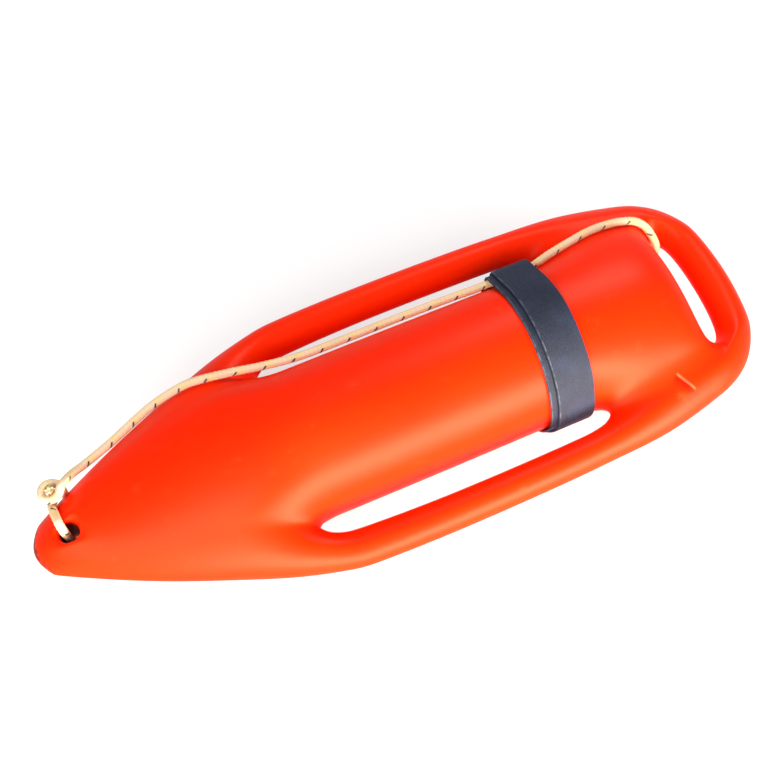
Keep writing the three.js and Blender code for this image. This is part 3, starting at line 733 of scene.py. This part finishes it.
def bored(bm, cutter):
    """The mesh less a cutter: both are used up."""
    holders = []
    for name, part in (("bored", bm), ("cutter", cutter)):
        mesh = bpy.data.meshes.new(name)
        part.to_mesh(mesh)
        part.free()
        holders.append(bpy.data.objects.new(name, mesh))
        bpy.context.scene.collection.objects.link(holders[-1])
    body, tool = holders
    cut = body.modifiers.new("bore", "BOOLEAN")
    cut.operation = "DIFFERENCE"
    cut.solver = "EXACT"
    cut.object = tool
    ready = body.evaluated_get(bpy.context.evaluated_depsgraph_get())
    result = bmesh.new()
    result.from_mesh(ready.to_mesh())
    ready.to_mesh_clear()
    for holder in holders:
        bpy.data.objects.remove(holder)
    return result


def turned(profile):
    """A closed body from a profile of (radius, height), turned about Z."""
    angles = [2 * pi * k / TURN_STEPS for k in range(TURN_STEPS + 1)]
    bm = bmesh.new()
    sheet(bm, [[Vector((r * cos(a), r * sin(a), z)) for a in angles] for r, z in profile])
    bmesh.ops.remove_doubles(bm, verts=bm.verts[:], dist=MERGE)
    bmesh.ops.recalc_face_normals(bm, faces=bm.faces[:])
    return bm


def harden(bm):
    """Sharp shading on the edges that turn by more than SHARP_ANGLE."""
    for edge in bm.edges:
        if edge.is_manifold and edge.calc_face_angle(0) > SHARP_ANGLE:
            edge.smooth = False


def port_place():
    """The middle of the port on the belly, laid along the skin, with Z into the float."""
    middle = BELT_REAR + PORT_SETBACK
    ends = [
        Vector((x, 0, -skin_radius(x, -pi / 2)))
        for x in (middle - SEAT_DIAMETER / 2, middle + SEAT_DIAMETER / 2)
    ]
    slope = ends[1] - ends[0]
    return Matrix.Translation(sum(ends, Vector()) / 2) @ Matrix.Rotation(
        -atan2(slope.z, slope.x), 4, "Y"
    )


def port_cutter():
    """The seat that the plug's flange lies in, and the port that its stem goes up."""
    floor = PLUG_RECESS + FLANGE_THICKNESS + PLUG_GAP
    top = floor + STEM_LENGTH + PLUG_GAP
    seat, port = SEAT_DIAMETER / 2, PORT_DIAMETER / 2
    bm = turned(((0, -seat), (seat, -seat), (seat, floor), (port, floor), (port, top), (0, top)))
    bm.transform(port_place())
    return bm


def make_plug():
    """The plug: a flange with a coin slot and a rounded rim, and its stem."""
    flange, stem = SEAT_DIAMETER / 2 - PLUG_GAP, PORT_DIAMETER / 2 - PLUG_GAP
    low, high = PLUG_RECESS, PLUG_RECESS + FLANGE_THICKNESS
    top = high + STEM_LENGTH
    rim, corner = FLANGE_ROUND, FLANGE_CHAMFER
    bm = turned((
        (0, low), (flange - rim, low), (flange - corner, low + corner), (flange, low + rim),
        (flange, high), (stem, high), (stem, top), (0, top),
    ))
    slot = bmesh.new()
    size = Matrix.Diagonal((COIN_SLOT_LENGTH, COIN_SLOT_WIDTH, 2 * COIN_SLOT_DEPTH, 1))
    bmesh.ops.create_cube(slot, size=1, matrix=Matrix.Translation((0, 0, low)) @ size)
    bm = bored(bm, slot)
    bm.transform(port_place())
    harden(bm)
    return piece_of(bm, "fill_cap", "can")


def make_hull():
    """The float with its port, cut flat where it lies on the ground."""
    bm = bored(hull, port_cutter())
    ground = AT_REST.inverted() @ Vector((0, 0, 0))
    up = AT_REST.inverted().to_3x3() @ Vector((0, 0, 1))
    geometry = [*bm.verts, *bm.edges, *bm.faces]
    cut = bmesh.ops.bisect_plane(
        bm, geom=geometry, plane_co=ground, plane_no=up, clear_inner=True, dist=MERGE
    )
    rim = [edge for edge in cut["geom_cut"] if isinstance(edge, bmesh.types.BMEdge)]
    bmesh.ops.holes_fill(bm, edges=rim, sides=0)
    harden(bm)
    return piece_of(bm, "float_skin", "can")


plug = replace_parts(make_plug(), "fill_plug")
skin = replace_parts(make_hull(), "hull_shell")


# Materials


def material(name):
    made = bpy.data.materials.new(name)
    made.use_nodes = True
    return made, Graph(made.node_tree)


class Graph:
    """Short calls to add and link nodes of one material.

    A ..._NOISE is its scale, detail and roughness, a ..._BUMP its height in metres and its
    strength, and a ..._FADE the values it runs between, and what it gives at each.
    """

    def __init__(self, tree):
        self.tree = tree
        self.shader = tree.nodes["Principled BSDF"]

    def add(self, kind, links=None, **settings):
        node = self.tree.nodes.new("ShaderNode" + kind)
        for key, value in settings.items():
            setattr(node, key, value)
        for key, value in (links or {}).items():
            self.set(node.inputs[key], value)
        return node

    def set(self, socket, value):
        if isinstance(value, bpy.types.NodeSocket):
            self.tree.links.new(value, socket)
        else:
            socket.default_value = value

    def math(self, operation, *values):
        node = self.add("Math", dict(enumerate(values)), operation=operation)
        return node.outputs[0]

    def between(self, value, low, high, to_low=0.0, to_high=1.0):
        links = {"Value": value, "From Min": low, "From Max": high, "To Min": to_low}
        links["To Max"] = to_high
        node = self.add("MapRange", links, interpolation_type="SMOOTHSTEP")
        return node.outputs["Result"]

    def blend(self, share, a, b):
        node = self.add("Mix", {0: share, 6: a, 7: b}, data_type="RGBA")
        return node.outputs[2]

    def noise(self, where, scale, detail=3.0, roughness=0.5):
        links = {"Vector": where, "Scale": scale, "Detail": detail, "Roughness": roughness}
        return self.add("TexNoise", links).outputs["Fac"]

    def bump(self, height, distance, strength=1.0, normal=None):
        links = {"Height": height, "Distance": distance, "Strength": strength}
        if normal:
            links["Normal"] = normal
        return self.add("Bump", links).outputs["Normal"]

    def finish(self, **values):
        for key, value in values.items():
            self.set(self.shader.inputs[key.replace("_", " ")], value)


def linear(red, green, blue):
    """A colour given in the screen's 0 to 255 values, by the sRGB curve."""
    shares = [value / 255 for value in (red, green, blue)]
    return (*(((c + 0.055) / 1.055) ** 2.4 if c > 0.04 else c / 12.92 for c in shares), 1.0)


PARTING_BUMP = (0.0003, 1.0)
PARTING_WIDTH = 1.1
FLEX_RIDGE_START = Vector((614, -85, 0))
FLEX_RIDGE_END = Vector((627, -106, 0))
FLEX_RIDGE_WIDTH = 2.2
FLEX_RIDGE_FADE = 3
FLEX_RIDGE_LOW = 2
# Painted shade beside the ridge: how wide it is and how soft its near edge
FLEX_SHADE_WIDTH = 12
FLEX_SHADE_EDGE = 1.5


def in_hull_frame(g, axis):
    """How far a point lies along one of the float's own axes, in millimetres."""
    rows = AT_REST.inverted()
    where = g.add("TexCoord").outputs["Object"]
    along = g.add("VectorMath", {0: where, 1: rows[axis][:3]}, operation="DOT_PRODUCT")
    return g.math("ADD", along.outputs["Value"], rows[axis][3])


def flex_ridge(g):
    """A short raised ridge where the tail runs into the near rail, as two masks: the ridge, for its
    bump and a painted highlight along it, and painted shade on one side of it.
    """
    along = FLEX_RIDGE_END - FLEX_RIDGE_START
    length = along.length
    along.normalize()
    across = Vector((along.y, -along.x, 0))
    x, y = in_hull_frame(g, 0), in_hull_frame(g, 1)

    def reach(way):
        by_x = g.math("ADD", g.math("MULTIPLY", x, way.x), -way.dot(FLEX_RIDGE_START))
        return g.math("ADD", by_x, g.math("MULTIPLY", y, way.y))

    gone, aside = reach(along), reach(across)
    near_end = g.between(gone, 0, FLEX_RIDGE_FADE)
    inside = g.math("MULTIPLY", near_end, g.between(gone, length, length - FLEX_RIDGE_FADE))
    above = g.between(in_hull_frame(g, 2), 0, FLEX_RIDGE_LOW)
    inside = g.math("MULTIPLY", inside, above)
    ridge = g.between(g.math("ABSOLUTE", aside), FLEX_RIDGE_WIDTH, 0)
    beside = g.between(aside, 0, FLEX_SHADE_EDGE)
    faded = g.between(aside, FLEX_SHADE_WIDTH, FLEX_SHADE_EDGE)
    painted_shade = g.math("MULTIPLY", beside, faded)
    return g.math("MULTIPLY", inside, ridge), g.math("MULTIPLY", inside, painted_shade)


SHELL_RED = (0.94, 0.014, 0.0, 1)
SHELL_ORANGE = (0.97, 0.024, 0.0, 1)
SHELL_SHINE = (1, 0.84, 0.56, 1)
SHELL_SHINE_LEVEL = 0.15
SHELL_ROUGHNESS_FADE = (0, 1, 0.4, 0.52)
CLOUD_NOISE = (9.0, 4.0)
GRAIN_NOISE = (900.0, 2.0)
GRAIN_BUMP = (0.00012, 0.35)
RIPPLE_NOISE = (28.0, 2.0)
RIPPLE_BUMP = (0.0015, 0.15)
SCUFF_COLOUR = linear(255, 110, 60)
SCUFF_STRENGTH = 0.1
SCUFF_NOISE = (60.0, 6.0, 0.7)
SCUFF_FADE = (0.58, 0.75)
# Painted highlight along the ridge and painted shade beside it, with how much of each
RIDGE_PAINTED_HIGHLIGHT = linear(255, 150, 100)
RIDGE_HIGHLIGHT_STRENGTH = 0.3
RIDGE_PAINTED_SHADE = linear(176, 10, 0)
RIDGE_PAINTED_SHADE_STRENGTH = 0.8
WORN_COLOUR = linear(96, 30, 12)
WORN_STRENGTH = 0.9
WORN_NOISE = (240.0, 4.0)
WORN_HEIGHT = 5
WORN_RAGGEDNESS = 9
WORN_HEIGHT_FADE = (3.2, 1.4)
WORN_SETBACK_FADE = (15, 9)
# Painted shade in the nose hole: its colour, how much of it, and the width of its fade at the rim
HOLE_PAINTED_SHADE = linear(34, 0, 6)
HOLE_SHADE_STRENGTH = 0.9
HOLE_RIM = 1.6


def worn_edge(g, where):
    """Ragged dark marks where the nose's edge has rubbed on the ground."""
    x, height = in_hull_frame(g, 0), in_hull_frame(g, 2)
    ragged = g.math("SUBTRACT", g.noise(where, *WORN_NOISE), 0.5)
    ragged = g.math("MULTIPLY", ragged, WORN_RAGGEDNESS)
    off = g.math("ABSOLUTE", g.math("ADD", g.math("SUBTRACT", height, WORN_HEIGHT), ragged))
    near_tip = g.between(x, *WORN_SETBACK_FADE)
    return g.math("MULTIPLY", g.between(off, *WORN_HEIGHT_FADE), near_tip)


def nose_hole_shade(g):
    """How far a point of the skin lies in the nose hole, where the colour is darkened as painted
    shade.
    """
    x, y = in_hull_frame(g, 0), in_hull_frame(g, 1)
    x = g.math("SUBTRACT", x, NOSE_HOLE_SETBACK)
    off = g.math("SQRT", g.math("ADD", g.math("POWER", x, 2), g.math("POWER", y, 2)))
    return g.between(off, NOSE_HOLE_DIAMETER / 2 + HOLE_RIM, NOSE_HOLE_DIAMETER / 2)


def moulded_shell():
    """Mottled semi-gloss plastic with a parting bead at half height, scuffs and wear, painted shade
    in the nose hole, and a painted highlight and painted shade at the ridge by the near rail.
    """
    made, g = material("moulded_shell")
    where = g.add("TexCoord").outputs["Object"]
    scuffs = g.between(g.noise(where, *SCUFF_NOISE), *SCUFF_FADE)
    ridge, painted_shade = flex_ridge(g)
    colour = g.blend(g.noise(where, *CLOUD_NOISE), SHELL_RED, SHELL_ORANGE)
    for strength, share, over in (
        (SCUFF_STRENGTH, scuffs, SCUFF_COLOUR),
        (WORN_STRENGTH, worn_edge(g, where), WORN_COLOUR),
        # painted shade in the nose hole
        (HOLE_SHADE_STRENGTH, nose_hole_shade(g), HOLE_PAINTED_SHADE),
        # painted shade and painted highlight at the ridge
        (RIDGE_PAINTED_SHADE_STRENGTH, painted_shade, RIDGE_PAINTED_SHADE),
        (RIDGE_HIGHLIGHT_STRENGTH, ridge, RIDGE_PAINTED_HIGHLIGHT),
    ):
        colour = g.blend(g.math("MULTIPLY", share, strength), colour, over)
    bead = g.between(g.math("ABSOLUTE", in_hull_frame(g, 2)), PARTING_WIDTH, 0)
    normal = g.bump(g.noise(where, *GRAIN_NOISE), *GRAIN_BUMP)
    normal = g.bump(g.noise(where, *RIPPLE_NOISE), *RIPPLE_BUMP, normal)
    normal = g.bump(g.math("ADD", bead, ridge), *PARTING_BUMP, normal)
    g.finish(
        Base_Color=colour,
        Roughness=g.between(scuffs, *SHELL_ROUGHNESS_FADE),
        Normal=normal,
        Specular_IOR_Level=SHELL_SHINE_LEVEL,
        Specular_Tint=SHELL_SHINE,
    )
    return made


# The line's colours, and its dark tracer yarn
LINE_COLOURS = linear(228, 192, 146), linear(238, 214, 180)
# Painted shade in the grooves between the plait's strands
LINE_GROOVE_SHADE = linear(196, 146, 104)
LINE_YELLOW = linear(240, 206, 96)
LINE_FIBRE = linear(248, 238, 214)
CUT_END_COLOURS = linear(96, 74, 34), linear(214, 204, 150)
CUT_END_FADE = (3.0, 0.2, 0, 0.85)
LINE_ROUGHNESS = 0.8
TONE_NOISE = (70.0, 2.0)
GROOVE_SHADE_FADE = (0.45, 0.0, 0, 0.2)
YELLOW_STRENGTH = 0.3
YELLOW_FADES = (0.5, 0.62), (0.95, 0.75)
FIBRE_NOISE = (3.0, 4.0, 0.7)
FIBRE_FADE = (0.5, 0.8, 0, 0.25)
FIBRE_BUMP = (0.0003, 0.5)
FRAY_NOISE = (420.0, 3.0)
FRAY_FADE = (0.42, 0.58)
TRACER_COLOUR = linear(36, 36, 62)
TRACER_PITCH = 28
TRACER_LENGTH = 3.6
TRACER_WIDTH = 1.5
TRACER_CORE_LENGTH = 0.7 * TRACER_LENGTH
TRACER_CORE_WIDTH = 0.3
TRACER_SLANT = radians(-48)
TRACER_WAY = Vector((0, -0.93, 0.37))
SECOND_TRACER_TURN = 0.36
SECOND_TRACER_START = -5.5
SECOND_TRACER_STRENGTH = 0.55


def tracer_turn():
    """The turn, as a share round the line, that faces the near side on the long front run."""
    frames = line_frames()
    _, side, up, _ = frames[len(frames) * 2 // 5]
    return atan2(TRACER_WAY.dot(up), TRACER_WAY.dot(side)) / (2 * pi)


def tracer_spot(g, round_, along, turn, start):
    """The short slanted dashes that one dark tracer yarn shows, one in each pitch."""
    gone = g.math("FRACT", g.math("DIVIDE", g.math("ADD", along, start), TRACER_PITCH))
    gone = g.math("MULTIPLY", g.math("SUBTRACT", gone, 0.5), TRACER_PITCH)
    aside = g.math("WRAP", g.math("SUBTRACT", round_, turn), 0.5, -0.5)
    aside = g.math("MULTIPLY", aside, pi * LINE_DIAMETER)
    c, s = cos(TRACER_SLANT), sin(TRACER_SLANT)
    down = g.math("ADD", g.math("MULTIPLY", gone, c), g.math("MULTIPLY", aside, s))
    over = g.math("SUBTRACT", g.math("MULTIPLY", aside, c), g.math("MULTIPLY", gone, s))
    long = g.between(g.math("ABSOLUTE", down), TRACER_LENGTH, TRACER_CORE_LENGTH)
    wide = g.between(g.math("ABSOLUTE", over), TRACER_WIDTH, TRACER_CORE_WIDTH)
    return g.math("MULTIPLY", long, wide)


def plaited_line():
    """Cream plaited cord with a yellow cast in places, painted shade in the grooves between its
    strands, dark flecks and a frayed cut end.
    """
    made, g = material("plaited_line")
    uv = g.add("UVMap", uv_map="along").outputs["UV"]
    parts = g.add("SeparateXYZ", {0: uv}).outputs
    round_, along = parts["X"], parts["Y"]
    where = g.add("TexCoord").outputs["Object"]
    colour = g.blend(g.noise(where, *TONE_NOISE), *LINE_COLOURS)
    lay = g.math("COSINE", g.math("MULTIPLY", round_, PLAIT_STRANDS * pi))
    beat = g.math("COSINE", g.math("MULTIPLY", along, pi / PLAIT_PITCH))
    crown = g.math("ABSOLUTE", g.math("MULTIPLY", lay, beat))
    # Painted shade where the strands dip between their crowns
    colour = g.blend(g.between(crown, *GROOVE_SHADE_FADE), colour, LINE_GROOVE_SHADE)
    turn = tracer_turn()
    yellow = g.math("FRACT", g.math("DIVIDE", along, TRACER_PITCH))
    yellow = g.math("MULTIPLY", *(g.between(yellow, *fade) for fade in YELLOW_FADES))
    colour = g.blend(g.math("MULTIPLY", yellow, YELLOW_STRENGTH), colour, LINE_YELLOW)
    fibres = g.noise(uv, *FIBRE_NOISE)
    colour = g.blend(g.between(fibres, *FIBRE_FADE), colour, LINE_FIBRE)
    first = tracer_spot(g, round_, along, turn, 0)
    second = tracer_spot(g, round_, along, turn + SECOND_TRACER_TURN, SECOND_TRACER_START)
    second = g.math("MULTIPLY", second, SECOND_TRACER_STRENGTH)
    colour = g.blend(g.math("MAXIMUM", first, second), colour, TRACER_COLOUR)
    frayed = g.blend(g.between(g.noise(where, *FRAY_NOISE), *FRAY_FADE), *CUT_END_COLOURS)
    colour = g.blend(g.between(along, *CUT_END_FADE), colour, frayed)
    normal = g.bump(fibres, *FIBRE_BUMP)
    g.finish(Base_Color=colour, Roughness=LINE_ROUGHNESS, Normal=normal)
    return made


WEBBING_COLOURS = linear(3, 5, 10), linear(40, 47, 70)
WEBBING_WORN = linear(44, 54, 84)
# Painted highlight along the webbing's edges: its colour and how near the edge it lies
WEBBING_EDGE_HIGHLIGHT = linear(92, 100, 104)
WEBBING_EDGE_SHARE = 0.012
WEBBING_SHEEN = linear(150, 166, 220)
WEAVE_NOISE = (700.0, 3.0)
WEAVE_BUMP = (0.0006, 0.5)
WEBBING_WORN_NOISE = (45.0, 4.0)
WEBBING_WORN_FADE = (0.45, 0.75, 0, 0.3)
EDGE_HIGHLIGHT_NOISE = (160.0, 3.0)
EDGE_HIGHLIGHT_FADE = (0.4, 0.6, 0.05, 0.45)
PICK_PITCH = 1.4
PICK_BUMP = (0.00012, 0.5)


def ribbed_webbing():
    """Dark woven webbing with crosswise picks, and a painted highlight along its edges, broken in
    places.
    """
    made, g = material("ribbed_webbing")
    where = g.add("TexCoord").outputs["Object"]
    uv = g.add("UVMap", uv_map="along").outputs["UV"]
    parts = g.add("SeparateXYZ", {0: uv}).outputs
    weave = g.noise(where, *WEAVE_NOISE)
    worn = g.between(g.noise(where, *WEBBING_WORN_NOISE), *WEBBING_WORN_FADE)
    colour = g.blend(worn, g.blend(weave, *WEBBING_COLOURS), WEBBING_WORN)
    # Painted highlight along both edges, broken up by noise
    edge = g.math("PINGPONG", parts["X"], 0.5)
    edge = g.between(edge, WEBBING_EDGE_SHARE, WEBBING_EDGE_SHARE / 2)
    highlight_breaks = g.between(g.noise(where, *EDGE_HIGHLIGHT_NOISE), *EDGE_HIGHLIGHT_FADE)
    colour = g.blend(g.math("MULTIPLY", edge, highlight_breaks), colour, WEBBING_EDGE_HIGHLIGHT)
    picks = g.math("SINE", g.math("MULTIPLY", parts["Y"], 2 * pi / PICK_PITCH))
    normal = g.bump(weave, *WEAVE_BUMP)
    g.finish(
        Base_Color=colour,
        Roughness=0.7,
        Specular_IOR_Level=0.3,
        Normal=g.bump(picks, *PICK_BUMP, normal),
        Sheen_Weight=0.2,
        Sheen_Roughness=0.4,
        Sheen_Tint=WEBBING_SHEEN,
    )
    return made


PLAIN_NOISE = (300.0, 3.0)
PLAIN_BUMP = (0.0005, 0.3)
PLAIN_SHADE = 0.7


def plain(name, colour, roughness):
    """A matt or satin material with a fine grain in its colour and its surface."""
    made, g = material(name)
    where = g.add("TexCoord").outputs["Object"]
    tone = g.noise(where, *PLAIN_NOISE)
    dark = (*(PLAIN_SHADE * c for c in linear(*colour)[:3]), 1)
    g.finish(
        Base_Color=g.blend(tone, dark, linear(*colour)),
        Roughness=roughness,
        Normal=g.bump(tone, *PLAIN_BUMP),
    )
    return made


def dress(piece, made):
    piece.data.materials.clear()
    piece.data.materials.append(made)


SHELL = moulded_shell()
WEBBING = ribbed_webbing()
dress(skin, SHELL)
dress(line, plaited_line())
dress(belt, WEBBING)
dress(tab, WEBBING)
dress(plug, plain("plug_plastic", (224, 58, 16), 0.45))
dress(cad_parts["foam_core"], plain("foam", (233, 223, 196), 0.95))
dress(hook, plain("hook_pile", (32, 35, 39), 0.9))
dress(loop, plain("loop_pile", (32, 35, 39), 0.95))


# Studio: white paper on the ground, a long light beside the near flank, one over the nose and
# a weak one on the far side. Each light is its place, aim, size, watts and colour, in metres.

FLOOR_SIZE = 12
FLOOR_GREY = (0.5, 0.5, 0.5, 1)
SHADED_FLOOR_RADIUS = 0.8
SHADED_FLOOR_GLOW = 0.46
NEAR_STRIP = ((0.1, -1.4, 0.3), (0, 0, 0.08), (2.4, 0.6), 140, (1, 0.9, 0.74))
NOSE_KEY = ((-1.3, -0.9, 1.35), (0, 0, 0), (1.5, 1.5), 44, (1, 1, 1))
FAR_FILL = ((0.9, 1.0, 1.3), (0, 0, 0), (0.9, 0.9), 21, (1, 1, 1))
WORLD_LIGHT = 0.2


def paper():
    """Paper that takes the object's shadow near it, and shows as white further off."""
    made = bpy.data.materials.new("floor_paper")
    made.use_nodes = True
    tree = made.node_tree
    nodes, link = tree.nodes, tree.links.new
    nodes.remove(nodes["Principled BSDF"])
    where = nodes.new("ShaderNodeTexCoord")
    away = nodes.new("ShaderNodeVectorMath")
    away.operation = "LENGTH"
    link(where.outputs["Object"], away.inputs[0])
    glow = nodes.new("ShaderNodeMapRange")
    glow.inputs["From Min"].default_value = SHADED_FLOOR_RADIUS
    glow.inputs["From Max"].default_value = 2 * SHADED_FLOOR_RADIUS
    glow.inputs["To Min"].default_value = SHADED_FLOOR_GLOW
    link(away.outputs["Value"], glow.inputs["Value"])
    rays = nodes.new("ShaderNodeLightPath")
    seen = nodes.new("ShaderNodeMath")
    seen.operation = "MULTIPLY"
    link(rays.outputs["Is Camera Ray"], seen.inputs[0])
    link(glow.outputs["Result"], seen.inputs[1])
    emission = nodes.new("ShaderNodeEmission")
    link(seen.outputs[0], emission.inputs["Strength"])
    diffuse = nodes.new("ShaderNodeBsdfDiffuse")
    diffuse.inputs["Color"].default_value = FLOOR_GREY
    both = nodes.new("ShaderNodeAddShader")
    link(diffuse.outputs[0], both.inputs[0])
    link(emission.outputs[0], both.inputs[1])
    link(both.outputs[0], nodes["Material Output"].inputs["Surface"])
    return made


def make_floor():
    bm = bmesh.new()
    bmesh.ops.create_grid(bm, x_segments=1, y_segments=1, size=FLOOR_SIZE)
    mesh = bpy.data.meshes.new("floor")
    bm.to_mesh(mesh)
    bm.free()
    floor = bpy.data.objects.new("floor", mesh)
    bpy.context.scene.collection.objects.link(floor)
    dress(floor, paper())


def softbox(name, place, aim, size, power, colour):
    data = bpy.data.lights.new(name, "AREA")
    data.shape = "RECTANGLE"
    data.size, data.size_y = size
    data.energy = power
    data.color = colour
    lamp = bpy.data.objects.new(name, data)
    bpy.context.scene.collection.objects.link(lamp)
    facing = (Vector(aim) - Vector(place)).to_track_quat("-Z", "Y").to_matrix().to_4x4()
    lamp.matrix_world = Matrix.Translation(place) @ facing


def light_world(strength):
    """A weak even light, which the camera itself sees as white."""
    world = bpy.data.worlds.new("studio")
    bpy.context.scene.world = world
    world.use_nodes = True
    tree = world.node_tree
    back = tree.nodes["Background"]
    rays = tree.nodes.new("ShaderNodeLightPath")
    pick = tree.nodes.new("ShaderNodeMapRange")
    pick.inputs["To Min"].default_value = strength
    pick.inputs["To Max"].default_value = 1.0
    tree.links.new(rays.outputs["Is Camera Ray"], pick.inputs["Value"])
    tree.links.new(pick.outputs["Result"], back.inputs["Strength"])
    back.inputs["Color"].default_value = (1, 1, 1, 1)


make_floor()
softbox("near_strip", *NEAR_STRIP)
softbox("nose_key", *NOSE_KEY)
softbox("far_fill", *FAR_FILL)
light_world(WORLD_LIGHT)
bpy.context.scene.view_settings.view_transform = "Standard"
